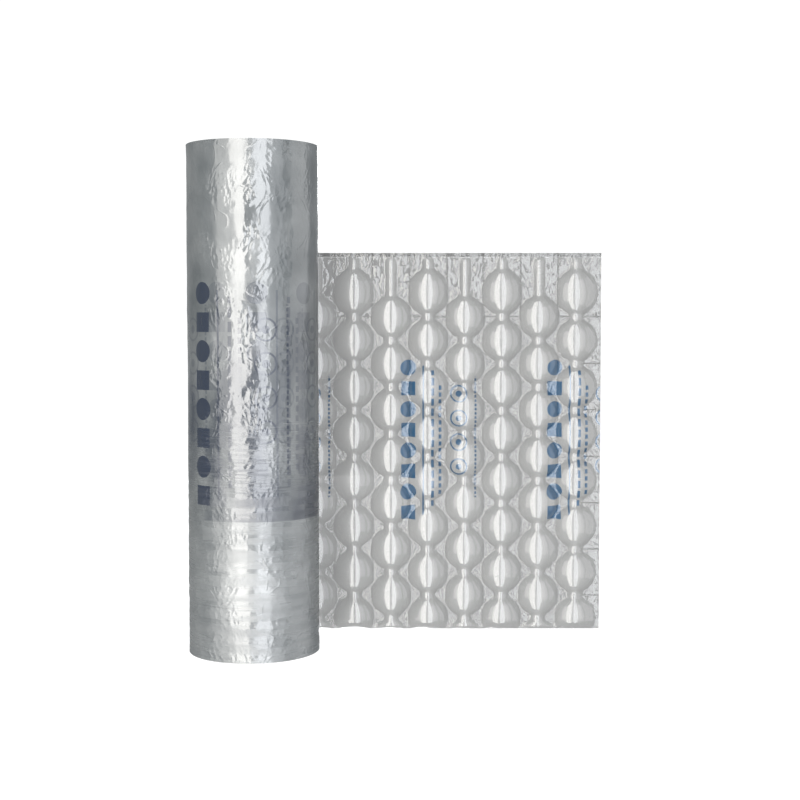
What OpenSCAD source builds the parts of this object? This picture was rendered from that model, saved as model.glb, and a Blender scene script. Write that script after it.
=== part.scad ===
// Air pillow film roll. A web of two-ply film is wound on a cardboard core. Its outer end
// leaves the back of the roll, gathers in and is filled with air, so that it becomes a
// sheet of round cells on strings, which stands on its lower edge beside the roll.
// The origin is on the core's axis, at the face that the roll stands on. +Z runs up the
// core, and the sheet runs along +X behind the roll.

/* [Film web] */
// Width of the flat film, which is the height of the standing roll
web_w = 400; // [380:1:440]
// Thickness of the web, which stands for its two plies
film_t = 0.5; // [0.4:0.05:0.8]
// Share of its flat width that the web keeps once its cells are full
shrink = 0.78; // [0.75:0.01:0.82]

/* [Wound roll] */
// Outer diameter of the wound film
roll_d = 104; // [96:1:130]
// Soft lobes round the outside, where the turns lie a little loose
lobes = 7; // [5:1:11]
// How far a lobe's middle lies from the roll's axis
lobe_shift = 3; // [1:0.5:5]
// Turns that show as rings on each end of the wound film
end_rings = 7; // [3:1:9]
// Depth of the grooves between those rings
ring_depth = 0.6; // [0.3:0.1:1]

/* [Core] */
// Bore of the cardboard core
core_bore = 50.8; // [48:0.1:54]
// Wall of the cardboard core
core_wall = 4; // [3:0.5:6]
// Clearance between the core and the first turn of film
wound_fit = 0.2; // [0.15:0.05:0.4]

/* [Air cells] */
// Cells in a full string, from the seal to the fold
rows = 8; // [5:1:9]
// Strings of cells along the sheet
cols = 8; // [2:1:10]
// Distance between neighbouring strings
col_pitch = 31; // [29:0.5:36]
// Diameter of a full cell
cell_d = 34; // [28:0.5:35]
// Thickness of a full cell
cell_t = 20; // [12:0.5:22]
// Width of the duct that links the cells of a string
duct_w = 10; // [6:0.5:11]
// Thickness of that duct
duct_t = 7.5; // [3:0.5:9]

/* [Sheet edges] */
// Distance from the sheet's top edge to the centres of the highest cells
top_margin = 34; // [26:1:50]
// Distance from the fold to the centres of the lowest whole cells
fold_margin = 10; // [8:1:14]
// Distance from the last string to the cut end of the sheet
end_margin = 21; // [18:1:40]
// Height of the two loose flaps above the heat seal
flap_h = 4; // [3:0.5:8]
// Gap between the two flaps at their top
flap_gap = 3; // [1:0.5:6]
// Thickness of one ply at the flaps
ply_t = 0.3; // [0.2:0.05:0.5]
// Diameter of the two beads of the heat seal
bead_d = 1.3; // [1.1:0.1:2]
// Distance between those beads
bead_pitch = 2.2; // [1.8:0.1:4]

/* [Web between roll and sheet] */
// Angle at which the web leaves the roll, from the sheet's plane
lead_angle = 30; // [24:1:36]
// Distance from the back of the roll to the sheet's middle plane
back_gap = 12; // [10:0.5:16]
// Distance from the first string to the roll's edge, seen from the front
first_inset = 5; // [0:0.5:8]
// Length of flat web before the gathers start
flat_lead = 12; // [11:0.5:16]
// Gathers across the web
pleats = 20; // [12:1:26]
// Height of a gather from its middle plane
pleat_h = 2.2; // [1:0.1:3]

/* [Hidden] */
$fn = 64;
over = 1;            // how far a cutting shape runs past what it cuts
seat = 1;            // how far the gathered film runs into its neighbours
seat_inset = 0.1;    // how far its edges lie inside theirs
lap_t = 0.3;         // how much thicker its neighbours are than the film

roll_r = roll_d / 2;
core_od = core_bore + 2 * core_wall;
wound_bore_r = core_od / 2 + wound_fit;

row_pitch = web_w / rows * shrink;
sheet_h = top_margin + (rows - 1) * row_pitch + fold_margin;
seal_z = sheet_h - flap_h;
plate_t = film_t + lap_t;

// The web's path in plan: from the point where it leaves the roll, straight to the bend,
// and on along the sheet's plane.
sheet_y = roll_r + back_gap;
leave_at = roll_r * [-sin(lead_angle), cos(lead_angle)];
lead_dir = [cos(lead_angle), sin(lead_angle)];
sheet_dir = [1, 0];
lead_len = (sheet_y - leave_at[1]) / sin(lead_angle);
bend_at = leave_at + lead_len * lead_dir;
first_x = roll_r - first_inset;
sheet_x = first_x - cell_d / 2 - 3;
sheet_end = first_x + (cols - 1) * col_pitch + end_margin;
path_len = lead_len + sheet_x - bend_at[0];
bend_half = 9;       // half the length over which the web bends

// The spheres and cylinders whose overlap is a cell or a duct
cell_r = lens_radius(cell_d, cell_t);
duct_r = lens_radius(duct_w, duct_t);
swell_r = cell_t / 2 + 2;    // half thickness of the space that the air may fill
seal_taper = 8;              // height over which that space closes below the seal

gather_steps = 12;
samples_per_pleat = 4;
gather_cols = pleats * samples_per_pleat;

function lens_radius(width, thick) = (width * width + thick * thick) / (4 * thick);
function clamp01(x) = min(1, max(0, x));
function smooth(x) = clamp01(x) * clamp01(x) * (3 - 2 * clamp01(x));
function unit(v) = v / norm(v);

// How far round the bend a point is, from 0 to 1
function bent(s) = clamp01((s - lead_len + bend_half) / (2 * bend_half));
// The web's middle in plan, at a length s from where it leaves the roll
function path_at(s) =
    leave_at + s * lead_dir + (sheet_dir - lead_dir) *
    (bent(s) * bent(s) * bend_half + max(0, s - lead_len - bend_half));
function heading_at(s) = unit(lead_dir + bent(s) * (sheet_dir - lead_dir));
function side_at(s) = [-heading_at(s)[1], heading_at(s)[0]];

// The gathered film is a grid of stations along the path and columns up the web
gather_from = flat_lead - seat;
gather_to = path_len + seat;
function gather_s(i) = gather_from + (gather_to - gather_from) * i / gather_steps;
function gather_share(i) = i / gather_steps;
function gather_top(i) =
    web_w - seat_inset + (seal_z - web_w) * smooth(gather_share(i));
function gather_swing(i) = pleat_h * sin(180 * pow(gather_share(i), 1.3));
function pleat_wave(j) =
    sin(360 * j / samples_per_pleat) * (0.75 + 0.25 * sin(137 * floor(j / samples_per_pleat)));
function gather_point(i, j, side) =
    let (s = gather_s(i),
         at = path_at(s) + side_at(s) * (gather_swing(i) * pleat_wave(j) + side * film_t / 2),
         z = seat_inset + (gather_top(i) - seat_inset) * j / gather_cols)
    [at[0], at[1], z];

// A shape with two curved faces that meet in a sharp rim
module lens(radius, thick) {
    intersection() {
        translate([0, thick / 2 - radius, 0]) sphere(radius);
        translate([0, radius - thick / 2, 0]) sphere(radius);
    }
}

// The duct of a string, with its length up Z
module duct(length) {
    linear_extrude(length)
        intersection() {
            translate([0, duct_t / 2 - duct_r]) circle(duct_r);
            translate([0, duct_r - duct_t / 2]) circle(duct_r);
        }
}

// Draws a shape given across the sheet, in Y and Z, along X
module along_sheet(from, length) {
    translate([from, 0, 0]) rotate([90, 0, 90]) linear_extrude(length) children();
}

// The space that air may fill, round at the fold and closed at the seal
module swell_outline() {
    translate([0, swell_r]) circle(swell_r);
    polygon([
        [-swell_r, swell_r], [swell_r, swell_r],
        [swell_r, seal_z - seal_taper], [0, seal_z - bead_pitch], [-swell_r, seal_z - seal_taper]
    ]);
}

// One string of cells. A low string starts half a pitch further down.
module cell_string(low) {
    first_z = sheet_h - top_margin - (low ? row_pitch / 2 : 0);
    intersection() {
        union() {
            duct(seal_z);
            for (k = [0 : rows - 1])
                translate([0, 0, first_z - k * row_pitch]) lens(cell_r, cell_t);
        }
        along_sheet(-cell_d / 2 - over, cell_d + 2 * over) swell_outline();
    }
}

// The flat film between the cells, with its seal and its two flaps
module sheet_film() {
    length = sheet_end - sheet_x;
    along_sheet(sheet_x, length)
        polygon([
            [-plate_t / 2, 0], [-plate_t / 2, seal_z],
            [-flap_gap / 2 - ply_t, sheet_h], [-flap_gap / 2, sheet_h],
            [0, seal_z + ply_t],
            [flap_gap / 2, sheet_h], [flap_gap / 2 + ply_t, sheet_h],
            [plate_t / 2, seal_z], [plate_t / 2, 0]
        ]);
    for (drop = [bead_d / 2, bead_d / 2 + bead_pitch])
        translate([sheet_x, 0, seal_z - drop]) rotate([0, 90, 0])
            cylinder(d = bead_d, h = length);
}

// The film between the roll and the sheet, drawn in by its gathers
module gathered_film() {
    per_side = gather_cols + 1;
    per_station = 2 * per_side;
    points = [for (i = [0 : gather_steps], side = [-1, 1], j = [0 : gather_cols])
        gather_point(i, j, side)];
    function at(i, side, j) = i * per_station + (side > 0 ? per_side : 0) + j;
    walls = [for (i = [0 : gather_steps - 1], j = [0 : gather_cols - 1], side = [-1, 1],
                  half = [0, 1])
        let (a = at(i, side, j), b = at(i + 1, side, j),
             c = at(i + 1, side, j + 1), d = at(i, side, j + 1),
             turn = half == 0 ? [a, b, c] : [a, c, d])
        side < 0 ? [turn[2], turn[1], turn[0]] : turn];
    rims = [for (i = [0 : gather_steps - 1], end = [0, 1], half = [0, 1])
        let (j = end * gather_cols,
             a = at(i, -1, j), b = at(i + 1, -1, j), c = at(i + 1, 1, j), d = at(i, 1, j),
             turn = half == 0 ? [a, b, c] : [a, c, d])
        end == 0 ? [turn[2], turn[1], turn[0]] : turn];
    ends = [for (j = [0 : gather_cols - 1], last = [0, 1], half = [0, 1])
        let (i = last * gather_steps,
             a = at(i, -1, j), b = at(i, 1, j), c = at(i, 1, j + 1), d = at(i, -1, j + 1),
             turn = half == 0 ? [a, b, c] : [a, c, d])
        last == 0 ? [turn[2], turn[1], turn[0]] : turn];
    polyhedron(points, concat(walls, rims, ends), convexity = 10);
}

// The grooves between the turns that stand proud on an end of the roll
module end_grooves() {
    step = (roll_r - wound_bore_r) / (end_rings + 1);
    for (k = [1 : end_rings])
        rotate_extrude()
            polygon([
                [wound_bore_r + k * step - ring_depth, -over / 100],
                [wound_bore_r + k * step + ring_depth, -over / 100],
                [wound_bore_r + k * step, ring_depth]
            ]);
}

// The outline of the wound turns. The web leaves them at the top of a lobe.
module roll_outline() {
    for (k = [0 : lobes - 1])
        rotate(90 + lead_angle + k * 360 / lobes)
            translate([lobe_shift, 0]) circle(roll_r - lobe_shift);
}

// The wound turns, with the outermost one leaving the roll
module wound_film() {
    lead = flat_lead * lead_dir;
    side = plate_t / 2 * [-lead_dir[1], lead_dir[0]];
    difference() {
        linear_extrude(web_w)
            difference() {
                union() {
                    roll_outline();
                    polygon([
                        leave_at * (1 - plate_t / roll_r), leave_at + lead - side,
                        leave_at + lead + side, leave_at + side
                    ]);
                }
                circle(wound_bore_r);
            }
        end_grooves();
        translate([0, 0, web_w]) mirror([0, 0, 1]) end_grooves();
    }
}

module core() {
    color("burlywood")
        difference() {
            cylinder(d = core_od, h = web_w);
            translate([0, 0, -over]) cylinder(d = core_bore, h = web_w + 2 * over);
        }
}

module film_web() {
    color([0.74, 0.76, 0.77, 0.8]) {
        wound_film();
        translate([0, sheet_y, 0]) {
            sheet_film();
            for (i = [0 : cols - 1])
                translate([first_x + i * col_pitch, 0, 0]) cell_string(low = i % 2 == 0);
        }
        gathered_film();
    }
}

core();
film_web();
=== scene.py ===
# %% [markdown]
# # A roll of air pillow film
#
# The object is a web of clear two-ply film, wound on a cardboard core. Its outer end leaves the
# back of the roll and is blown up into strings of round cells, which stand as a sheet beside it.
# Everything that is seen of the film is thin and shiny, so its look comes from its folds. The
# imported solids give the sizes, and the film is then laid out as film: flat, sealed and filled.

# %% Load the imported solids
import math

import bpy
import numpy as np
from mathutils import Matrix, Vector, noise


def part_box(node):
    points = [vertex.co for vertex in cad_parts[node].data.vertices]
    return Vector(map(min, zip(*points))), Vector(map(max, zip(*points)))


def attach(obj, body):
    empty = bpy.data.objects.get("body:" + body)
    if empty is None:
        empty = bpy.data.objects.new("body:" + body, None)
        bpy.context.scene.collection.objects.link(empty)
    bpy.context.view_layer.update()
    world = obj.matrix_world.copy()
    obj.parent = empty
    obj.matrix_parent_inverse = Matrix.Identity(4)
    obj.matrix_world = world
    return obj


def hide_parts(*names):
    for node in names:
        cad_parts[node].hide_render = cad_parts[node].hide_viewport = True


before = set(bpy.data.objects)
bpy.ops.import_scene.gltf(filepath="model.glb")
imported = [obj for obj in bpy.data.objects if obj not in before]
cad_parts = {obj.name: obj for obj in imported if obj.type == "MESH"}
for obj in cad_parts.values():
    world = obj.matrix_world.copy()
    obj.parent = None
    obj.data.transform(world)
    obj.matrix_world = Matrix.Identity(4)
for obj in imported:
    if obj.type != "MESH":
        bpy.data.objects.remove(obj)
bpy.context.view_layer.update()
scene = bpy.context.scene
for item in bpy.context.selected_objects:
    item.select_set(False)

# %% [markdown]
# Sizes come from the solids where they can. A flat web is wider than the sheet that it becomes,
# because a round cell draws in to about three quarters of its flat width as it fills.

# %% Sizes in metres
MM = 0.001
web_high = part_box("film_web")[1]
core_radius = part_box("core")[1].x
web_width = web_high.z
roll_radius = 52 * MM
cell_depth = 20 * MM
sheet_y = web_high.y - cell_depth / 2
sheet_height = 319.5 * MM
full_string_pitch = 31 * MM
strings = 8
rows = 8
print("web", round(web_width, 4), "sheet plane", round(sheet_y, 4), "end", round(web_high.x, 4))

# %% [markdown]
# ## Camera
#
# The photograph was taken at about arm's length, a little above the middle of the roll. The
# camera stands there and looks slightly down, with a lens that gives the roll the same taper.


# %% Camera
def add_camera(place, aim, focal_length):
    bpy.ops.object.camera_add(location=place)
    camera = bpy.context.object
    camera.name = "camera"
    camera.data.lens = focal_length
    camera.data.sensor_width = 36
    camera.rotation_euler = (Vector(aim) - Vector(place)).to_track_quat("-Z", "Y").to_euler()
    scene.camera = camera
    return camera


camera_place = (0.1166, -1.130, 0.261)
camera_drop = math.tan(math.radians(3.1))
camera_aim = (camera_place[0], 0, camera_place[2] + camera_place[1] * camera_drop)
camera = add_camera(camera_place, camera_aim, 64)
print("camera at", camera_place, "looks at", [round(value, 3) for value in camera_aim])


# %% [markdown]
# ## Light
#
# Shiny film shows the lamps more than its own colour, so two tall soft lamps stand where the
# two bright bands on the roll say that they stood, a wide one to the left and a narrow one to
# the right. Both bands fade outwards, so each lamp has a dimmer edge. A dim one to the side
# lights the right flank, and one stands right behind the roll, for whoever looks at the back.
# The surroundings that the film mirrors are grey, because film in an all white room would
# hardly be seen.


# %% Lamps
lamp_height = 0.3
warm_white = (1.0, 0.98, 0.94)
cool_white = (0.95, 0.97, 1.0)
plain_white = (1.0, 1.0, 1.0)


def add_softbox(name, angle, width, length, watts, colour, distance=1.2):
    """A tall soft lamp that faces the roll, at an angle from the roll's front."""
    turn = math.radians(angle)
    place = Vector((distance * math.sin(turn), -distance * math.cos(turn), lamp_height))
    bpy.ops.object.light_add(type="AREA", location=place)
    lamp = bpy.context.object
    lamp.name = name
    lamp.data.shape = "RECTANGLE"
    lamp.data.size = width
    lamp.data.size_y = length
    lamp.data.energy = watts
    lamp.data.color = colour
    aim = Vector((0, 0, lamp_height)) - place
    lamp.rotation_euler = aim.to_track_quat("-Z", "Y").to_euler()
    lamp.visible_camera = False
    return lamp


add_softbox("key_softbox", -17, 0.62, 5.0, 79, warm_white)
add_softbox("key_edge", -45.5, 0.62, 1.4, 7, warm_white)
add_softbox("fill_softbox", 20, 0.48, 5.0, 50, cool_white)
add_softbox("fill_edge", 45, 0.58, 1.4, 3.5, cool_white)
add_softbox("side_reflector", 92, 1.10, 1.4, 5.5, plain_white)
add_softbox("rear_softbox", 181, 0.38, 5.0, 42, plain_white, distance=1.3)

world = bpy.data.worlds.new("studio")
scene.world = world
world.use_nodes = True
surroundings = world.node_tree.nodes["Background"]
surroundings.inputs["Color"].default_value = (0.36, 0.38, 0.39, 1)
surroundings.inputs["Strength"].default_value = 1.0
scene.view_settings.view_transform = "Standard"


# %% [markdown]
# The floor and the round backdrop are white paper that gives off a little light of its own.
# They are there for the camera alone. The photograph shows no bright floor mirrored in the
# cells, so the paper neither lights nor shades the film and isn't mirrored by it.


# %% Floor and backdrop
def new_material(name):
    """A material, its node tree and its shader."""
    material = bpy.data.materials.new(name)
    material.use_nodes = True
    return material, material.node_tree, material.node_tree.nodes["Principled BSDF"]


def paper_material():
    material, _, shader = new_material("white_paper")
    shader.inputs["Base Color"].default_value = (0.12, 0.12, 0.12, 1)
    shader.inputs["Roughness"].default_value = 0.9
    shader.inputs["Specular IOR Level"].default_value = 0
    shader.inputs["Emission Color"].default_value = (1, 1, 1, 1)
    shader.inputs["Emission Strength"].default_value = 1.0
    return material


def stage_paper(sheet, name, material):
    sheet.name = name
    sheet.data.materials.append(material)
    sheet.visible_glossy = False
    sheet.visible_diffuse = False
    sheet.visible_shadow = False


white_paper = paper_material()
bpy.ops.mesh.primitive_plane_add(size=12, location=(0, 0, -0.6 * MM))
stage_paper(bpy.context.object, "floor", white_paper)
bpy.ops.mesh.primitive_cylinder_add(radius=5.5, depth=8, end_fill_type="NOTHING",
                                    vertices=64, location=(0, 0, 3.9))
stage_paper(bpy.context.object, "backdrop", white_paper)
print("floor and backdrop staged")

# %% [markdown]
# ## The seal pattern of the flat film
#
# Two plies are welded together everywhere except in the cells and in the ducts that link them.
# Strings of cells run across the web, and every other string starts half a pitch lower, so
# that the cells nest. Places on the flat film are (u, v): u runs away from the roll and v runs
# down from the open edge. A string's outline is its half width at a given v.

# %% Flat film sizes
row_pitch = web_width / rows
string_pitch = 39.7 * MM
cell_radius = 22.2 * MM
neck_half = 7.4 * MM
feed_half = 5.4 * MM
neck_round = 6 * MM
seal_drop = 4 * MM
top_cell_drop = 37 * MM
first_string_u = 83 * MM
cut_margin = 27 * MM
last_string_u = first_string_u + (strings - 1) * string_pitch
film_length = last_string_u + cut_margin
lead_length = first_string_u - cell_radius


def nearest_string(u):
    """Number of the nearest string, and how far across its middle line the point is."""
    index = np.clip(np.round((u - first_string_u) / string_pitch), 0, strings - 1)
    return index, u - (first_string_u + index * string_pitch)


def string_drop(index, v):
    """How far below the centre of a string's highest cell a point lies."""
    return v - top_cell_drop - np.where(index % 2 == 0, row_pitch / 2, 0)


def outline(u, v):
    """Half width of the nearest string there, and how far across it the point is."""
    index, across = nearest_string(u)
    drop = string_drop(index, v)
    row = np.maximum(np.round(drop / row_pitch), 0)
    along = drop - row * row_pitch
    round_part = np.sqrt(np.maximum(cell_radius**2 - along**2, 0))
    above = np.clip(-drop / row_pitch - 0.35, 0, 0.15) / 0.15
    straight = neck_half + (feed_half - neck_half) * above
    share = np.clip(0.5 + 0.5 * (round_part - straight) / neck_round, 0, 1)
    half = straight + (round_part - straight) * share + neck_round * share * (1 - share)
    return half, across


def inside_air(u, v):
    """How far points lie inside the cells and ducts, and below zero in the weld."""
    half, across = outline(u, v)
    return np.minimum(np.minimum(half - np.abs(across), v - seal_drop), web_width - v)


print("flat film", round(film_length, 4), "long, strings every", string_pitch)

# %% [markdown]
# ## How a full cell bulges
#
# Air pushes the plies apart until each cross-section of a string is a lens: two arcs that meet
# in the weld. The arcs are as deep as the string is wide there, so the depth swells and
# shrinks from cell to neck. The lamps then mirror as narrow pointed flames on every cell.


# %% Bulge
string_width_share = full_string_pitch / string_pitch


def bulge(u, v):
    """How far a full cell's skin stands off the middle plane."""
    half, across = outline(u, v)
    index, _ = nearest_string(u)
    width = np.maximum(half * string_width_share, 1e-6)
    fullness = 1 + 0.03 * np.sin(index * 2.4 + np.round(string_drop(index, v) / row_pitch) * 1.7)
    depth = fullness * cell_depth / 2 * (half / cell_radius) ** 0.85
    ends = np.clip((v - seal_drop) / (5 * MM), 0, 1) * np.clip((web_width - v) / (9 * MM), 0, 1)
    depth = np.maximum(depth * np.sqrt(ends), 1e-6)
    arc = (width**2 + depth**2) / (2 * depth)
    x = np.clip(across * string_width_share, -width, width)
    return np.sqrt(arc**2 - x**2) - (arc - depth)


middle_cell = bulge(np.array([first_string_u]), np.array([top_cell_drop + row_pitch / 2]))
print("a full cell stands off by", middle_cell.round(4))

# %% [markdown]
# ## The flat web as a lattice
#
# A clean weld needs edges that follow the pattern. So a lattice of triangles is laid over the
# film, and each point that lies close to the rim of a cell is moved onto it.

# %% Lattice
film_step = 2.0 * MM


def film_lattice():
    """Flat places (u, v) of a triangle lattice whose edges follow the rims of the cells."""
    down = round(web_width / (film_step * math.sqrt(3) / 2))
    along = round(film_length / film_step)
    j, i = np.meshgrid(np.arange(down + 1), np.arange(along + 1), indexing="ij")
    shifted = (j % 2 == 1) & (i > 0) & (i < along)
    u = (i + 0.5 * shifted) * film_length / along
    v = j * web_width / down
    edge = (i == 0) | (i == along) | (j == 0) | (j == down)
    lattice_u, lattice_v = u, v
    reach = 0.42 * film_step
    tiny = 0.01 * MM
    for _ in range(3):
        depth = inside_air(u, v)
        slope_u = (inside_air(u + tiny, v) - inside_air(u - tiny, v)) / (2 * tiny)
        slope_v = (inside_air(u, v + tiny) - inside_air(u, v - tiny)) / (2 * tiny)
        steep = slope_u**2 + slope_v**2 + 1e-6
        near = (np.abs(depth) < reach) & ~edge
        move_u = np.where(near, u - depth * slope_u / steep, u) - lattice_u
        move_v = np.where(near, v - depth * slope_v / steep, v) - lattice_v
        u = lattice_u + np.clip(move_u, -reach, reach)
        v = lattice_v + np.clip(move_v, -reach, reach)
    return u, v


def lattice_triangles(shape):
    """Corners of the lattice's triangles, turned so that they face the camera's side."""
    number = np.arange(shape[0] * shape[1]).reshape(shape)
    found = []
    for j in range(shape[0] - 1):
        a, b = number[j, :-1], number[j, 1:]
        c, d = number[j + 1, :-1], number[j + 1, 1:]
        if j % 2 == 0:
            found += [np.stack([a, c, b], 1), np.stack([b, c, d], 1)]
        else:
            found += [np.stack([a, d, b], 1), np.stack([a, c, d], 1)]
    return np.concatenate(found)


grid_u, grid_v = film_lattice()
grid_shape = grid_u.shape
flat_u, flat_v = grid_u.ravel(), grid_v.ravel()
in_air = inside_air(flat_u, flat_v) > 0.15 * film_step
front_faces = lattice_triangles(grid_shape)
print("film lattice", grid_shape, "points", flat_u.size, "triangles", len(front_faces))

# %% [markdown]
# ## From flat to full
#
# As the cells fill, their strings draw together and the sheet gets lower. Between the roll and
# the first string the web narrows from the roll's height to the sheet's, so it gathers there
# in pleats that fan out from the first cells.

# %% Drawn-in places
first_string_s = 78.1 * MM
last_string_s = first_string_s + (strings - 1) * full_string_pitch
flat_marks_u = [0, lead_length, first_string_u, last_string_u, film_length]
lead_s = first_string_s - 17 * MM
full_marks_s = [0, lead_s, first_string_s, last_string_s, last_string_s + 21 * MM]
last_cell_v = top_cell_drop + (rows - 1) * row_pitch
flat_marks_v = [0, top_cell_drop, last_cell_v, web_width]
full_marks_z = [sheet_height, sheet_height - 34 * MM, 12 * MM, 2.5 * MM]


def drawn_in(u, v):
    """Length from the roll and height of a film point once its sheet is full."""
    s = np.interp(u, flat_marks_u, full_marks_s)
    full_z = np.interp(v, flat_marks_v, full_marks_z)
    share = np.clip(u / lead_length, 0, 1)
    share = share * share * (3 - 2 * share)
    return s, (web_width - v) * (1 - share) + full_z * share


def ripple(u, v):
    """How far the film as a whole leans out of its plane: pleats, waves and small creases."""
    share = np.clip(u / lead_length, 0, 1)
    pleats = 1.1 * MM * np.sin(2 * math.pi * 20 * v / web_width) * np.sin(math.pi * share) ** 2
    found = np.empty(u.size)
    for k in range(u.size):
        wave = noise.noise(Vector((u[k] * 14, v[k] * 14, 1)))
        small = 0 if in_air[k] else noise.noise(Vector((u[k] * 230, v[k] * 230, 5)))
        found[k] = 0.5 * MM * wave + 0.55 * MM * small
    return pleats + found


print("full sheet ends", round(full_marks_s[-1], 4), "from the roll")

# %% [markdown]
# In plan the film leaves the roll along a tangent and bends onto the sheet's plane, so its
# lengths are laid along that path.

# %% Path in plan
lead_angle = math.radians(30)
leave_at = roll_radius * np.array([-math.sin(lead_angle), math.cos(lead_angle)])
lead_way = np.array([math.cos(lead_angle), math.sin(lead_angle)])
sheet_way = np.array([1.0, 0.0])
straight_lead = (sheet_y - leave_at[1]) / math.sin(lead_angle)
bend_half = 9 * MM
print("the film bends onto the sheet's plane", round(straight_lead, 4), "from the roll")


def along_path(s, off, z):
    """Film places, as length, distance off the plane and height, laid along the path."""
    bent = np.clip((s - straight_lead + bend_half) / (2 * bend_half), 0, 1)
    past = np.maximum(0, s - straight_lead - bend_half)
    turned = (bent**2 * bend_half + past)[:, None] * (sheet_way - lead_way)
    plan = leave_at + s[:, None] * lead_way + turned
    way = lead_way + bent[:, None] * (sheet_way - lead_way)
    way /= np.linalg.norm(way, axis=1)[:, None]
    plan += off[:, None] * np.stack([-way[:, 1], way[:, 0]], 1)
    return np.stack([plan[:, 0], plan[:, 1], np.maximum(z, 0)], 1)


# %% [markdown]
# ## One closed skin
#
# The two plies become a skin with a front and a back, a little apart in the weld. The plies
# part above the seal, where the machine slit them, so the two flaps there stand open.

# %% Close the film
weld_half = 0.12 * MM
flap_open = 0.25 * MM


def film_skin():
    """Places and faces of the closed film."""
    s, z = drawn_in(flat_u, flat_v)
    swell = np.where(in_air, bulge(flat_u, flat_v), 0) + weld_half
    lean = ripple(flat_u, flat_v)
    flap = flap_open * np.clip(1 - flat_v / seal_drop, 0, 1)
    front = along_path(s, lean - swell - flap, z)
    back = along_path(s, lean + swell + flap, z)
    number = np.arange(flat_u.size).reshape(grid_shape)
    seal_row = int(np.argmin(np.abs(grid_v[:, 0] - seal_drop)))
    groove = (front[number[seal_row]] + back[number[seal_row]]) / 2
    points = np.concatenate([front, back, groove])
    far = flat_u.size
    middle = 2 * far + np.arange(grid_shape[1])
    faces = front_faces.tolist() + (front_faces[:, ::-1] + far).tolist()

    def wall(one, other):
        for k in range(len(one) - 1):
            faces.append([one[k], one[k + 1], other[k + 1], other[k]])

    wall(number[0], middle)
    wall(middle, number[0] + far)
    wall(number[-1], number[-1] + far)
    wall(number[:, 0], number[:, 0] + far)
    wall(number[:, -1], number[:, -1] + far)
    return points, faces, seal_row


def face_outward(piece):
    """Turns every face of a closed piece outwards, in edit mode."""
    bpy.context.view_layer.objects.active = piece
    piece.select_set(True)
    bpy.ops.object.mode_set(mode="EDIT")
    bpy.ops.mesh.select_all(action="SELECT")
    bpy.ops.mesh.normals_make_consistent(inside=False)
    bpy.ops.object.mode_set(mode="OBJECT")
    piece.select_set(False)


def mesh_piece(name, points, faces):
    """A smooth piece at the origin, with sharp edges where its faces turn steeply."""
    mesh = bpy.data.meshes.new(name)
    mesh.from_pydata(points, [], faces)
    mesh.polygons.foreach_set("use_smooth", [True] * len(mesh.polygons))
    mesh.update()
    piece = bpy.data.objects.new(name, mesh)
    scene.collection.objects.link(piece)
    face_outward(piece)
    mesh.set_sharp_from_angle(angle=math.radians(75))
    return piece


skin_points, skin_faces, seal_row = film_skin()
tail = mesh_piece("inflated_tail", skin_points.tolist(), skin_faces)
print("tail", len(tail.data.polygons), "faces")

# %% [markdown]
# The materials need to know three things about each point of the film: where it lies on the
# flat web, whether it is welded, and where it lies round the nearest cell, because the weld
# puckers in rays that point away from the cells. The back ply carries no print, so its flat
# places are a metre further along the map.


# %% Film maps
rays_radius = 20 * MM
pucker_stretch = 0.22
back_shift = 1


def cell_rays():
    """Angle round the nearest cell as an arc length, distance from it, and its number.

    Between the cells there is no room for rays, so the flat place itself is used there.
    """
    index, across = nearest_string(flat_u)
    drop = string_drop(index, flat_v)
    row = np.clip(np.round(drop / row_pitch), 0, rows)
    along = drop - row * row_pitch
    turn = np.arctan2(across, -along) * rays_radius
    in_margin = (flat_v < top_cell_drop + row_pitch / 2) | (flat_u > last_string_u)
    first = np.where(in_margin, turn, flat_u)
    second = np.where(in_margin, np.hypot(across, along), flat_v / pucker_stretch)
    return np.stack([first, second, np.where(in_margin, index * 0.01, 0)], 1)


def add_film_maps():
    """Writes the flat places as a UV map, and the weld and the rays as attributes."""
    mesh = tail.data
    both_u = np.concatenate([flat_u, flat_u, grid_u[0]])
    both_v = np.concatenate([flat_v, flat_v + back_shift, grid_v[seal_row]])
    corners = np.empty(len(mesh.loops), np.int32)
    mesh.loops.foreach_get("vertex_index", corners)
    layer = mesh.uv_layers.new(name="flat_film")
    layer.uv.foreach_set("vector", np.stack([both_u[corners], both_v[corners]], 1).ravel())
    weld = mesh.attributes.new("weld", "FLOAT", "POINT")
    welded = (~in_air).astype(float)
    weld.data.foreach_set("value", np.concatenate([welded, welded, np.ones(grid_shape[1])]))
    rays = cell_rays()
    rays = np.concatenate([rays, rays, rays[: grid_shape[1]]])
    pucker = mesh.attributes.new("pucker", "FLOAT_VECTOR", "POINT")
    pucker.data.foreach_set("vector", rays.ravel())


add_film_maps()
print("welded share of the film", round(1 - in_air.mean(), 2))

# %% [markdown]
# ## The wound roll
#
# A roll of film is never a clean cylinder. Its outer turns lie a little loose, so long soft
# folds run up it, and finer ones cross it where a turn slipped. Most of them are noise, but the
# eye knows a few clear creases, such as those that run round below the print, so these are
# listed
# one by one: from one place to another, with a sag between them. Angles count from the side of
# the roll that the camera faces, and heights and widths are in millimetres.


# %% Creases listed one by one
# Each crease is its first angle and height, its last angle and height, its sag, and how high
# and wide it is.
camera_side = 84.1


def seen_at(turn_from_front):
    """Angle round the roll of a place so many degrees right of what the camera faces."""
    return math.radians(turn_from_front - camera_side)


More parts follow.
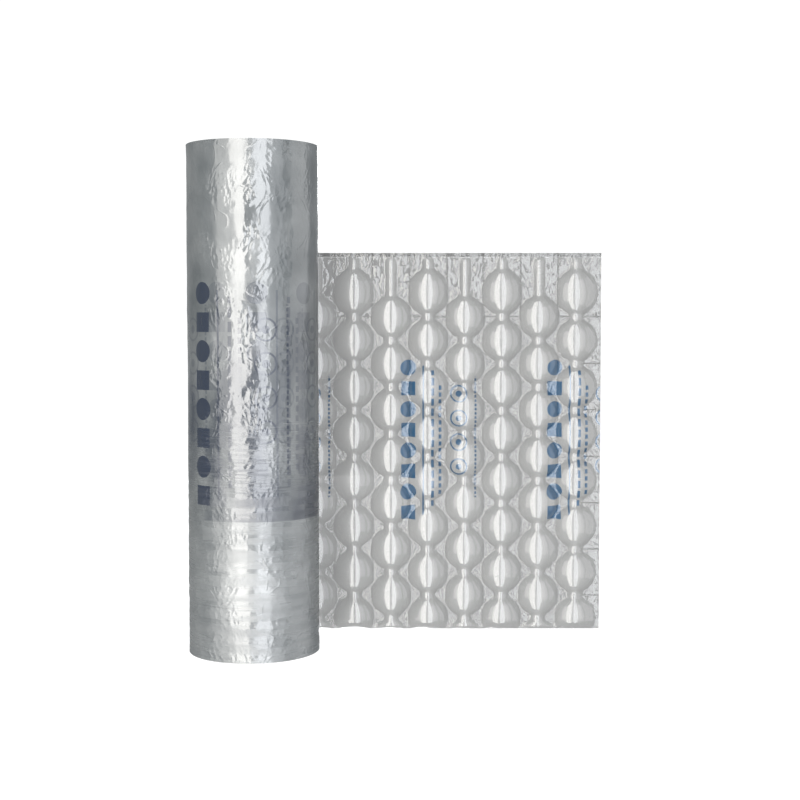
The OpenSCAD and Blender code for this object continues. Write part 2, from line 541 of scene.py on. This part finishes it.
def crease_height(turn, z, start, low_z, end, high_z, sag, height, width):
    """A crease from one place on the roll to another, which sags between them."""
    share = (turn - seen_at(start)) / (seen_at(end) - seen_at(start))
    if not -0.05 < share < 1.05:
        return 0
    middle = low_z + (high_z - low_z) * share - sag * 4 * share * (1 - share)
    slope = abs(high_z - low_z) / ((end - start) * 0.9)
    off = abs(z / MM - middle) / (width * math.sqrt(1 + slope**2))
    ends = min(1, 8 * max(0, share), 8 * max(0, 1 - share))
    return height * max(0, 1 - off) ** 1.5 * ends


creases_by_hand = [
    (-4, 299, 27, 316, -4, 0.7, 1.6),
    (-2, 294, 27, 311, -4, 0.5, 1.4),
    (20, 272, 37, 292, 5, 0.6, 2.0),
    (-48, 296, -34, 262, 3, 0.6, 2.2),
    (-25, 341, -8, 352, 3, 0.3, 1.6),
    (-12, 318, 8, 325, 3, 0.35, 1.8),
    (6, 345, 24, 339, -3, 0.4, 1.8),
    (-52, 80, -20, 42, 9, 0.45, 1.8),
    (-20, 42, 22, 40, 12, 0.35, 1.8),
    (22, 41, 48, 88, 10, 0.4, 1.8),
    (-34, 105, -12, 92, 2, 0.4, 2.0),
    (-4, 83, 26, 97, 2, 0.4, 2.2),
]
print("creases laid by hand", len(creases_by_hand))

# %% [markdown]
# The other folds are noise that is stretched along the roll in its upper part, and across it in
# its lower part, where the turns slipped. They fade towards both ends, which the winding
# machine keeps even.


# %% Folds of the outer turn
def fold_height(turn, z):
    """How far the outer turn stands in or out at an angle and a height.

    The last factor of each term is a noise, and its weight is a height in millimetres. Of the
    cell noise, the distance to the nearest point gives facets, and the two nearest a ridge.
    """
    x, y = roll_radius * math.cos(turn), roll_radius * math.sin(turn)
    low = min(1, max(0, (185 * MM - z) / (70 * MM)))
    drift = 7 * MM * noise.noise(Vector((x * 18, y * 18, z * 11)))
    long_fold = noise.noise(Vector(((x + drift) * 70, (y + drift) * 70, z * 9)))
    lump = noise.noise(Vector((x * 120, y * 120, z * 70)))
    near, second = noise.voronoi(Vector((x * 62 + z * 8, y * 62, z * 30)))[0][:2]
    cross = noise.noise(Vector((x * 26, y * 26, z * 200 + 3)))
    fine = noise.noise(Vector((x * 70, y * 70, z * 330)))
    rise = 0.36 * (1 - 0.6 * low) * long_fold + 0.12 * lump - 0.50 * (1 - 0.4 * low) * near
    rise += (0.06 + 0.30 * low) * cross + (0.02 + 0.12 * low) * fine
    ridge = max(0, 1 - (second - near) * 6) ** 2
    rise += 0.12 * ridge
    for crease in creases_by_hand:
        rise += crease_height(turn, z, *crease)
    fade = min(1, z / (12 * MM), (web_width - z) / (12 * MM))
    return (rise - 0.1) * MM * (0.3 + 0.7 * fade)


print("fold in front at half height", round(fold_height(-math.pi / 2, web_width / 2), 5))

# %% [markdown]
# The roll is one closed skin, a grid wrapped round the core: up the outside, in over the top
# end, down the bore and out under the lower end. The ends get fine steps, one for each few
# turns, because the turns never end quite level.

# %% Roll grid
roll_columns = 288
roll_rows = 280
end_steps = 24
turn_pitch = 2.8 * MM
bore_radius = core_radius + 0.2 * MM
column_turn = 2 * math.pi / roll_columns


def turn_relief(turn, radius):
    """Step of the wound turns' edges on the ends of the roll."""
    lap = (radius / turn_pitch - turn / (2 * math.pi)) % 1
    return 0.5 * MM * abs(2 * lap - 1)


def roll_profile():
    """Rows of the grid as (share of the way out from the bore, height), None on the outside."""
    rise = np.linspace(0, 1, roll_rows + 1) * web_width
    outside = [(None, z) for z in rise]
    inward = np.linspace(1, 0, end_steps + 1)[1:]
    top = [(share, web_width) for share in inward]
    low = [(share, 0.0) for share in inward[::-1]]
    return outside + top + low


def roll_points(rows_found):
    """Places of the grid, row by row."""
    points = []
    for share, z in rows_found:
        for column in range(roll_columns):
            turn = column * column_turn
            outer = roll_radius + fold_height(turn, z)
            if share is None:
                radius, height = outer, z
            else:
                radius = bore_radius + (outer - bore_radius) * share
                relief = turn_relief(turn, radius) * min(1, 8 * share * (1 - share))
                height = z - relief if z > 0 else relief
            points.append((radius * math.cos(turn), radius * math.sin(turn), height))
    return points


def roll_faces(rows_found):
    """Faces of the closed grid, their flat places, and which of them are ends or bore."""
    faces, places, ends = [], [], []
    count = len(rows_found)
    for j in range(count):
        k = (j + 1) % count
        low_v, high_v = web_width - rows_found[j][1], web_width - rows_found[k][1]
        for i in range(roll_columns):
            n = (i + 1) % roll_columns
            faces.append([j * roll_columns + i, j * roll_columns + n,
                          k * roll_columns + n, k * roll_columns + i])
            here = i * column_turn * roll_radius
            there = (i + 1) * column_turn * roll_radius
            places += [(here, low_v), (there, low_v), (there, high_v), (here, high_v)]
            ends.append(1 if j >= roll_rows else 0)
    return faces, places, ends


def make_roll():
    rows_found = roll_profile()
    faces, places, ends = roll_faces(rows_found)
    roll = mesh_piece("wound_film", roll_points(rows_found), faces)
    layer = roll.data.uv_layers.new(name="flat_film")
    layer.uv.foreach_set("vector", np.array(places).ravel())
    roll.data.polygons.foreach_set("material_index", ends)
    return roll


roll = make_roll()
print("roll", len(roll.data.polygons), "faces")

# %% [markdown]
# ## Materials
#
# Nodes are wired in code. These small helpers add a node, set its values and link its inputs,
# and give back its output, so that a pattern reads like a sum.


# %% Node helpers
def feed(tree, socket, value):
    """Links a socket to an input, or sets the input to a number or colour."""
    if isinstance(value, bpy.types.NodeSocket):
        tree.links.new(value, socket)
    elif value is not None:
        socket.default_value = value


def put(tree, kind, *inputs, **settings):
    """Adds a node and returns its first output. Inputs are sockets or numbers, in order."""
    node = tree.nodes.new(kind)
    for key, value in settings.items():
        setattr(node, key, value)
    for socket, value in zip(node.inputs, inputs):
        feed(tree, socket, value)
    return node.outputs[0]


def calc(tree, operation, *inputs):
    return put(tree, "ShaderNodeMath", *inputs, operation=operation)


def scaled(tree, vector, factors):
    return put(tree, "ShaderNodeVectorMath", vector, factors, operation="MULTIPLY")


def cloud(tree, vector, size, detail=2.0):
    """Soft noise, where a larger size number makes finer noise."""
    return put(tree, "ShaderNodeTexNoise", vector, None, size, detail)


def spread(tree, value, low, high, least=0.0):
    """Goes from least to one as the value goes from low to high, and stays there."""
    return put(tree, "ShaderNodeMapRange", value, low, high, least)


def axes(tree, vector):
    """The X, Y and Z of a vector."""
    node = tree.nodes.new("ShaderNodeSeparateXYZ")
    tree.links.new(vector, node.inputs[0])
    return node.outputs


print("node helpers: feed, put, calc, scaled, cloud, spread, axes")

# %% [markdown]
# Three more helpers deal with colour and height: one lays a colour over another, one turns a
# pattern into a colour between a dark and a light one, and one presses a height into a shader.


# %% Colour and height helpers
def laid_over(tree, share, under, over):
    """A colour over another one, by a share."""
    node = tree.nodes.new("ShaderNodeMix")
    node.data_type = "RGBA"
    feed(tree, node.inputs[0], share)
    feed(tree, node.inputs[6], under)
    feed(tree, node.inputs[7], over)
    return node.outputs[2]


def coloured(tree, fac, dark, light, low, high):
    """A colour between dark and light, as fac goes from low to high."""
    node = tree.nodes.new("ShaderNodeValToRGB")
    node.color_ramp.elements[0].position = low
    node.color_ramp.elements[0].color = dark
    node.color_ramp.elements[1].position = high
    node.color_ramp.elements[1].color = light
    tree.links.new(fac, node.inputs["Fac"])
    return node.outputs["Color"]


def add_bump(tree, height, distance):
    node = tree.nodes.new("ShaderNodeBump")
    node.inputs["Strength"].default_value = 1.0
    node.inputs["Distance"].default_value = distance
    tree.links.new(height, node.inputs["Height"])
    shader = tree.nodes["Principled BSDF"]
    tree.links.new(node.outputs[0], shader.inputs["Normal"])


print("colour and height helpers: laid_over, coloured, add_bump")

# %% [markdown]
# An effect that several materials share, or that one material needs at several sizes, becomes a
# node group. These two helpers make a group with named sockets and place it in a material.


# %% Group helpers
def new_group(name, inputs, outputs):
    """A shader node group with named sockets: (name, kind, value) in, (name, kind) out."""
    group = bpy.data.node_groups.new(name, "ShaderNodeTree")
    for label, kind, value in inputs:
        socket = group.interface.new_socket(label, in_out="INPUT", socket_type=kind)
        if value is not None:
            socket.default_value = value
    for label, kind in outputs:
        group.interface.new_socket(label, in_out="OUTPUT", socket_type=kind)
    start = group.nodes.new("NodeGroupInput")
    end = group.nodes.new("NodeGroupOutput")
    return group, start.outputs, end.inputs


def use_group(tree, group, **values):
    """Places a group in a material. Values are sockets or numbers by input name."""
    node = tree.nodes.new("ShaderNodeGroup")
    node.node_tree = group
    for label, value in values.items():
        feed(tree, node.inputs[label], value)
    return node.outputs


print("group helpers: new_group, use_group")

# %% [markdown]
# Clear film is full of tiny sharp creases that flash. They are ridges of noise, stretched one
# way, and both the sheet and the roll use them, so they are a node group.


# %% Film creases
def crease_group():
    inputs = [("Vector", "NodeSocketVector", None), ("Size", "NodeSocketFloat", 200.0),
              ("Detail", "NodeSocketFloat", 1.0)]
    group, given, result = new_group("film creases", inputs, [("Height", "NodeSocketFloat")])
    ridges = group.nodes.new("ShaderNodeTexNoise")
    ridges.noise_dimensions = "3D"
    ridges.noise_type = "RIDGED_MULTIFRACTAL"
    ridges.normalize = False
    ridges.inputs["Roughness"].default_value = 0.45
    ridges.inputs["Distortion"].default_value = 0.6
    group.links.new(given["Vector"], ridges.inputs["Vector"])
    group.links.new(given["Size"], ridges.inputs["Scale"])
    group.links.new(given["Detail"], ridges.inputs["Detail"])
    group.links.new(ridges.outputs[0], result["Height"])
    return group


film_creases = crease_group()
print("group", film_creases.name)

# %% [markdown]
# Film that was squeezed also shows flat facets with sharp creases between them. Cell noise has
# that shape, and a little drift of its places keeps the creases from being straight. The roll
# uses it twice, for the folds of its outer turn and for the crinkles on them.


# %% Crumpled film
def crumple_group():
    inputs = [("Vector", "NodeSocketVector", None), ("Size", "NodeSocketFloat", 60.0),
              ("Stretch", "NodeSocketFloat", 1.0)]
    group, given, result = new_group("crumpled film", inputs, [("Height", "NodeSocketFloat")])
    place = axes(group, given["Vector"])
    lower = calc(group, "MULTIPLY", place["Y"], given["Stretch"])
    joined = put(group, "ShaderNodeCombineXYZ", place["X"], lower)
    drift = group.nodes.new("ShaderNodeTexNoise")
    drift.inputs["Scale"].default_value = 22
    group.links.new(joined, drift.inputs["Vector"])
    moved = put(group, "ShaderNodeVectorMath", drift.outputs["Color"], (0.03, 0.03, 0.0),
                joined, operation="MULTIPLY_ADD")
    facets = group.nodes.new("ShaderNodeTexVoronoi")
    facets.inputs["Randomness"].default_value = 1.0
    group.links.new(moved, facets.inputs["Vector"])
    group.links.new(given["Size"], facets.inputs["Scale"])
    group.links.new(facets.outputs["Distance"], result["Height"])
    return group


crumpled_film = crumple_group()
print("group", crumpled_film.name)

# %% [markdown]
# The real film is printed. Here the print is plain shapes in one blue: discs and squares in a
# column, a slim bar, rows of dashes and small rings, repeated along the web. Each shape is a
# distance worked out from the place on the flat film, so it bends with the cells. Inside the
# group, x runs along one repeat and y down from the top of the print, in millimetres.

# %% Print
print_repeat = 157 * MM
print_top = 105 * MM
print_span = 178 * MM


def print_group():
    inputs = [("Vector", "NodeSocketVector", None), ("Shift", "NodeSocketFloat", 0.0)]
    group, given, result = new_group("plain print", inputs, [("Mask", "NodeSocketFloat")])
    place = axes(group, given["Vector"])
    shifted = calc(group, "ADD", place["X"], given["Shift"])
    x = calc(group, "MULTIPLY", calc(group, "FLOORED_MODULO", shifted, print_repeat), 1000.0)
    y = calc(group, "MULTIPLY", calc(group, "SUBTRACT", place["Y"], print_top), 1000.0)

    def near(value, centre, half):
        return calc(group, "COMPARE", value, centre, half)

    def both(one, other):
        return calc(group, "MULTIPLY", one, other)

    def either(one, other):
        return calc(group, "MAXIMUM", one, other)

    def in_cells(pitch):
        """Distance from the middle of the nearest cell of a column."""
        return calc(group, "SUBTRACT", calc(group, "FLOORED_MODULO", y, pitch), pitch / 2)

    def away(across, along):
        squares = calc(group, "ADD", both(across, across), both(along, along))
        return calc(group, "SQRT", squares)

    def dashes(centre, half, pitch, share, low, high):
        column = near(x, centre, half)
        dash = calc(group, "LESS_THAN", calc(group, "FLOORED_MODULO", y, pitch), pitch * share)
        return both(both(column, dash), near(y, (low + high) / 2, (high - low) / 2))

    def block_column():
        """Eight blocks, a disc and a square by turns."""
        pitch = print_span * 1000 / 8
        block_y = in_cells(pitch)
        block_x = calc(group, "SUBTRACT", x, 24.0)
        disc = calc(group, "LESS_THAN", away(block_x, block_y), 8.5)
        square = both(near(block_x, 0.0, 7.5), near(block_y, 0.0, 7.5))
        number = calc(group, "FLOOR", calc(group, "DIVIDE", y, pitch))
        odd = calc(group, "FLOORED_MODULO", number, 2.0)
        even = calc(group, "SUBTRACT", 1.0, odd)
        column = calc(group, "ADD", both(odd, square), both(even, disc))
        return both(column, near(y, print_span * 500, print_span * 500))

    def ring_column():
        far = away(calc(group, "SUBTRACT", x, 78.0), in_cells(26.0))
        ring = either(near(far, 8.4, 0.8), calc(group, "LESS_THAN", far, 3.2))
        return both(ring, near(y, 78.0, 52.0))

    mask = either(block_column(), ring_column())
    mask = either(mask, both(near(x, 40.0, 0.9), near(y, 89.0, 80.0)))
    mask = either(mask, dashes(50.0, 1.5, 11.0, 0.72, 14.0, 160.0))
    mask = either(mask, dashes(58.0, 1.5, 7.5, 0.62, 30.0, 150.0))
    mask = either(mask, dashes(96.0, 1.0, 4.5, 0.6, 20.0, 150.0))
    group.links.new(mask, result["Mask"])
    return group


plain_print = print_group()
print("group", plain_print.name, "repeats every", print_repeat)

# %% [markdown]
# On the roll the cells aren't blown up yet, but the seal's rims already show as fine raised
# lines. They follow the same pattern as the cells of the sheet, so they are worked out from the
# same sizes: a distance to the rim of the nearest string, with the necks joined in softly.


# %% Outlines of the flat cells
rim_half = 0.9 * MM
roll_shift_v = 12 * MM


def cell_outline_group():
    """A ridge along the rims of the flat cells."""
    inputs = [("Vector", "NodeSocketVector", None)]
    group, given, result = new_group("cell outlines", inputs, [("Ridge", "NodeSocketFloat")])
    place = axes(group, given["Vector"])
    x, y = place["X"], place["Y"]

    def rim_of(number):
        """Distance outside the cells and ducts of one string, below zero inside."""
        across = calc(group, "SUBTRACT", x, calc(group, "MULTIPLY", number, string_pitch))
        odd = calc(group, "FLOORED_MODULO", number, 2.0)
        moved = calc(group, "MULTIPLY_ADD", odd, row_pitch / 2, y)
        lowered = calc(group, "SUBTRACT", moved, roll_shift_v)
        turned = calc(group, "FLOORED_MODULO", lowered, row_pitch)
        along = calc(group, "SUBTRACT", turned, row_pitch / 2)
        squares = calc(group, "ADD", calc(group, "MULTIPLY", across, across),
                       calc(group, "MULTIPLY", along, along))
        from_cell = calc(group, "SUBTRACT", calc(group, "SQRT", squares), cell_radius)
        from_duct = calc(group, "SUBTRACT", calc(group, "ABSOLUTE", across), neck_half)
        return calc(group, "SMOOTH_MIN", from_cell, from_duct, 4 * MM)

    before = calc(group, "FLOOR", calc(group, "DIVIDE", x, string_pitch))
    rim = calc(group, "MINIMUM", rim_of(before), rim_of(calc(group, "ADD", before, 1.0)))
    far = calc(group, "DIVIDE", calc(group, "ABSOLUTE", rim), rim_half)
    ridge = calc(group, "MAXIMUM", calc(group, "SUBTRACT", 1.0, far), 0.0)
    group.links.new(ridge, result["Ridge"])
    return group


cell_outlines = cell_outline_group()
print("group", cell_outlines.name)

# %% [markdown]
# ## Film of the sheet
#
# Film is clear but not invisible: two plies over white read as a light grey, and glossy lamps
# show on both of them. So the skin is grey, half see-through and glossy, and ink covers it. The
# weld is darker and clearer than the cells, and puckers in rays. A soft second gloss goes over
# the sharp one, because film scatters the lamps a little round their images.

# %% Film material of the sheet
cell_grey = (0.112, 0.113, 0.111, 1)
weld_grey = (0.061, 0.062, 0.061, 1)
print_blue = (0.0005, 0.030, 0.070, 1)
film_cover = 0.58
flap_clearer = 0.20
cell_haze = 0.8


def add_haze(shader, weight):
    """A soft second gloss."""
    shader.inputs["Coat Weight"].default_value = weight
    shader.inputs["Coat Roughness"].default_value = 0.42
    shader.inputs["Coat IOR"].default_value = 1.5


def attribute(tree, name):
    node = tree.nodes.new("ShaderNodeAttribute")
    node.attribute_name = name
    return node.outputs


def film_material():
    material, tree, shader = new_material("clear_film")
    flat = put(tree, "ShaderNodeUVMap", uv_map="flat_film")
    weld = attribute(tree, "weld")["Fac"]
    ink = use_group(tree, plain_print, Vector=flat, Shift=0.0)["Mask"]
    film = laid_over(tree, weld, cell_grey, weld_grey)
    feed(tree, shader.inputs["Base Color"], laid_over(tree, ink, film, print_blue))
    from_edge = calc(tree, "FLOORED_MODULO", axes(tree, flat)["Y"], 1.0)
    flap = calc(tree, "LESS_THAN", from_edge, seal_drop)
    plain = calc(tree, "SUBTRACT", film_cover, calc(tree, "MULTIPLY", flap, flap_clearer))
    cover = calc(tree, "MULTIPLY_ADD", ink, 0.37, plain)
    feed(tree, shader.inputs["Alpha"], cover)
    squash = scaled(tree, attribute(tree, "pucker")["Vector"], (1.0, pucker_stretch, 30.0))
    pucker = use_group(tree, film_creases, Vector=squash, Size=330.0, Detail=0.5)["Height"]
    add_bump(tree, calc(tree, "MULTIPLY", pucker, weld), 0.0010)
    shader.inputs["Roughness"].default_value = 0.12
    shader.inputs["IOR"].default_value = 1.7
    add_haze(shader, cell_haze)
    feed(tree, shader.inputs["Coat Weight"], calc(tree, "MULTIPLY_ADD", weld, -0.65, cell_haze))
    return material


clear_film = film_material()
print("material", clear_film.name)

# %% [markdown]
# ## Film of the roll
#
# On the roll the turns lie on each other, so it is darker and not see-through. Its gloss varies
# where turns slipped: in streaks across its lower half and in patches above. The print of the
# turns below shows through as dark murk, and the print of the outer turns as fainter layers,
# each shifted round, because a turn's length isn't a whole number of repeats.

# %% Gloss and murk of the roll
slip_starts = 0.20
slip_full = 0.27
murk_blue = (0.0005, 0.004, 0.012, 1)


def slipped_gloss(tree, flat):
    """Roughness of the outer turn."""
    lower = spread(tree, axes(tree, flat)["Y"], slip_starts, slip_full)
    stretch = tree.nodes.new("ShaderNodeMix")
    stretch.data_type = "VECTOR"
    stretch.inputs[4].default_value = (75.0, 30.0, 1.0)
    stretch.inputs[5].default_value = (16.0, 150.0, 1.0)
    tree.links.new(lower, stretch.inputs[0])
    worn = spread(tree, cloud(tree, scaled(tree, flat, stretch.outputs[1]), 1.0), 0.42, 0.60)
    most = calc(tree, "MULTIPLY_ADD", lower, 0.16, 0.12)
    least = calc(tree, "MULTIPLY_ADD", lower, 0.08, 0.10)
    return calc(tree, "MULTIPLY_ADD", worn, most, least)


def murky_turns(tree, flat, colour):
    """Dark patches over a colour, in the printed band."""
    patches = spread(tree, cloud(tree, scaled(tree, flat, (14.0, 5.0, 1.0)), 1.6), 0.42, 0.60)
    down = axes(tree, flat)["Y"]
    fade_in = spread(tree, down, print_top + 0.01, print_top + 0.07)
    above = calc(tree, "LESS_THAN", down, print_top + print_span + 0.008)
    band = calc(tree, "MULTIPLY", fade_in, above)
    share = calc(tree, "MULTIPLY", calc(tree, "MULTIPLY", patches, band), 0.92)
    return laid_over(tree, share, colour, murk_blue)


print("murk over the print from", print_top, "to", print_top + print_span)

# %% [markdown]
# Its height has three parts: broad folds, crinkles that gather in patches, and worn rims of the
# flat cells. Together they make the lamps' images ragged, as on the real roll.

# %% Film material of the roll
roll_dark = (0.016, 0.021, 0.024, 1)
roll_light = (0.115, 0.120, 0.122, 1)
deep_blue = (0.0003, 0.004, 0.014, 1)
print_layers = [(0.117, 0.30), (0.043, 0.38), (0.085, 0.55), (0.132, 0.97)]


def roll_colour(tree, flat):
    print_end = print_top + print_span
    lower = spread(tree, axes(tree, flat)["Y"], print_end - 0.01, print_end + 0.03)
    paler = calc(tree, "MULTIPLY_ADD", lower, 0.16, cloud(tree, flat, 28.0, 3.0))
    colour = coloured(tree, paler, roll_dark, roll_light, 0.15, 1.0)
    colour = murky_turns(tree, flat, colour)
    for shift, share in print_layers:
        ink = use_group(tree, plain_print, Vector=flat, Shift=shift)["Mask"]
        colour = laid_over(tree, calc(tree, "MULTIPLY", ink, share), colour, deep_blue)
    return colour


def roll_height(tree, flat):
    rims = use_group(tree, cell_outlines, Vector=flat)["Ridge"]
    rims = calc(tree, "MULTIPLY", rims, spread(tree, cloud(tree, flat, 75.0), 0.47, 0.60))
    folds = use_group(tree, crumpled_film, Vector=flat, Size=62.0, Stretch=0.42)["Height"]
    small = use_group(tree, crumpled_film, Vector=flat, Size=260.0, Stretch=0.7)["Height"]
    fine = use_group(tree, film_creases, Vector=flat, Size=260.0, Detail=0.5)["Height"]
    crinkles = calc(tree, "MULTIPLY_ADD", small, 0.70, calc(tree, "MULTIPLY", fine, 0.45))
    gathered = spread(tree, cloud(tree, flat, 42.0), 0.44, 0.58, 0.15)
    height = calc(tree, "MULTIPLY_ADD", rims, 0.25, calc(tree, "MULTIPLY", crinkles, gathered))
    return calc(tree, "MULTIPLY_ADD", folds, 0.8, height)


def roll_material():
    material, tree, shader = new_material("wound_film")
    flat = put(tree, "ShaderNodeUVMap", uv_map="flat_film")
    feed(tree, shader.inputs["Base Color"], roll_colour(tree, flat))
    add_bump(tree, roll_height(tree, flat), 0.0006)
    feed(tree, shader.inputs["Roughness"], slipped_gloss(tree, flat))
    shader.inputs["IOR"].default_value = 1.75
    add_haze(shader, 0.6)
    return material


wound_film = roll_material()
print("material", wound_film.name, "with", len(print_layers), "layers of print")

# %% [markdown]
# The ends of the roll show the edges of its turns, and the ends of the core show its paper
# plies. Both are rings of uneven width, so one node group makes them from the distance to the
# axis alone.


# %% Wound rings
def ring_group():
    inputs = [("Vector", "NodeSocketVector", None), ("Size", "NodeSocketFloat", 1500.0)]
    group, given, result = new_group("wound rings", inputs, [("Streak", "NodeSocketFloat")])
    place = axes(group, given["Vector"])
    x, y = place["X"], place["Y"]
    squares = calc(group, "ADD", calc(group, "MULTIPLY", x, x), calc(group, "MULTIPLY", y, y))
    streak = group.nodes.new("ShaderNodeTexNoise")
    streak.noise_dimensions = "1D"
    streak.inputs["Detail"].default_value = 2
    group.links.new(calc(group, "SQRT", squares), streak.inputs["W"])
    group.links.new(given["Size"], streak.inputs["Scale"])
    group.links.new(streak.outputs[0], result["Streak"])
    return group


wound_rings = ring_group()
print("group", wound_rings.name)

# %% [markdown]
# The stacked edges of clear film look milky grey, with fine and broad rings in them.

# %% Film edges
edge_dark = (0.15, 0.165, 0.17, 1)
edge_light = (0.36, 0.375, 0.38, 1)


def edge_material():
    material, tree, shader = new_material("film_edges")
    place = tree.nodes.new("ShaderNodeTexCoord").outputs["Object"]
    fine = use_group(tree, wound_rings, Vector=place, Size=2200.0)["Streak"]
    wide = use_group(tree, wound_rings, Vector=place, Size=260.0)["Streak"]
    blotch = cloud(tree, place, 40.0)
    mixed = calc(tree, "MULTIPLY_ADD", wide, 0.5, calc(tree, "MULTIPLY", fine, 0.35))
    mixed = calc(tree, "MULTIPLY_ADD", blotch, 0.15, mixed)
    colour = coloured(tree, mixed, edge_dark, edge_light, 0.38, 0.62)
    feed(tree, shader.inputs["Base Color"], colour)
    add_bump(tree, fine, 0.0006)
    feed(tree, shader.inputs["Roughness"], calc(tree, "MULTIPLY_ADD", blotch, 0.35, 0.2))
    return material


film_edges = edge_material()
print("material", film_edges.name)

# %% [markdown]
# ## Board of the core
#
# The core is grey-brown board: fibres in the paper, rings on its ends, and one seam that winds
# up its wall, where the strips of paper meet edge to edge.

# %% Core board
board_dark = (0.15, 0.098, 0.055, 1)
board_light = (0.31, 0.22, 0.135, 1)
seam_brown = (0.06, 0.04, 0.024, 1)
seam_climb = 90 * MM


def board_seam(tree, place):
    """A mask of the seam: a thin line that climbs as it goes round."""
    along = axes(tree, place)
    share = calc(tree, "DIVIDE", calc(tree, "ARCTAN2", along["Y"], along["X"]), 2 * math.pi)
    climb = calc(tree, "MULTIPLY_ADD", along["Z"], 1 / seam_climb, share)
    return calc(tree, "COMPARE", calc(tree, "FLOORED_MODULO", climb, 1.0), 0.5, 0.006)


def board_material():
    material, tree, shader = new_material("core_board")
    place = tree.nodes.new("ShaderNodeTexCoord").outputs["Object"]
    fibre = cloud(tree, scaled(tree, place, (1.0, 1.0, 0.35)), 900.0, 4.0)
    blotch = cloud(tree, place, 60.0)
    plies = use_group(tree, wound_rings, Vector=place, Size=1600.0)["Streak"]
    mixed = calc(tree, "MULTIPLY_ADD", fibre, 0.45, calc(tree, "MULTIPLY", blotch, 0.25))
    mixed = calc(tree, "MULTIPLY_ADD", plies, 0.30, mixed)
    colour = coloured(tree, mixed, board_dark, board_light, 0.38, 0.62)
    seam = board_seam(tree, place)
    colour = laid_over(tree, calc(tree, "MULTIPLY", seam, 0.7), colour, seam_brown)
    feed(tree, shader.inputs["Base Color"], colour)
    add_bump(tree, calc(tree, "SUBTRACT", mixed, seam), 0.0003)
    feed(tree, shader.inputs["Roughness"], calc(tree, "MULTIPLY_ADD", fibre, 0.2, 0.75))
    return material


core_board = board_material()
print("material", core_board.name)

# %% [markdown]
# ## Hand over
#
# The pieces get their materials: the roll's faces already say whether they are its outside or
# its ends. Both film pieces stand for the one solid web, and the core keeps its own solid.

# %% Give the materials
tail.data.materials.append(clear_film)
roll.data.materials.append(wound_film)
roll.data.materials.append(film_edges)
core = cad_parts["core"]
core.data.materials.clear()
core.data.materials.append(core_board)
print("core wears", core.data.materials[0].name)

# %% Finish
for piece in (tail, roll):
    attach(piece, "root")
    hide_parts("film_web")
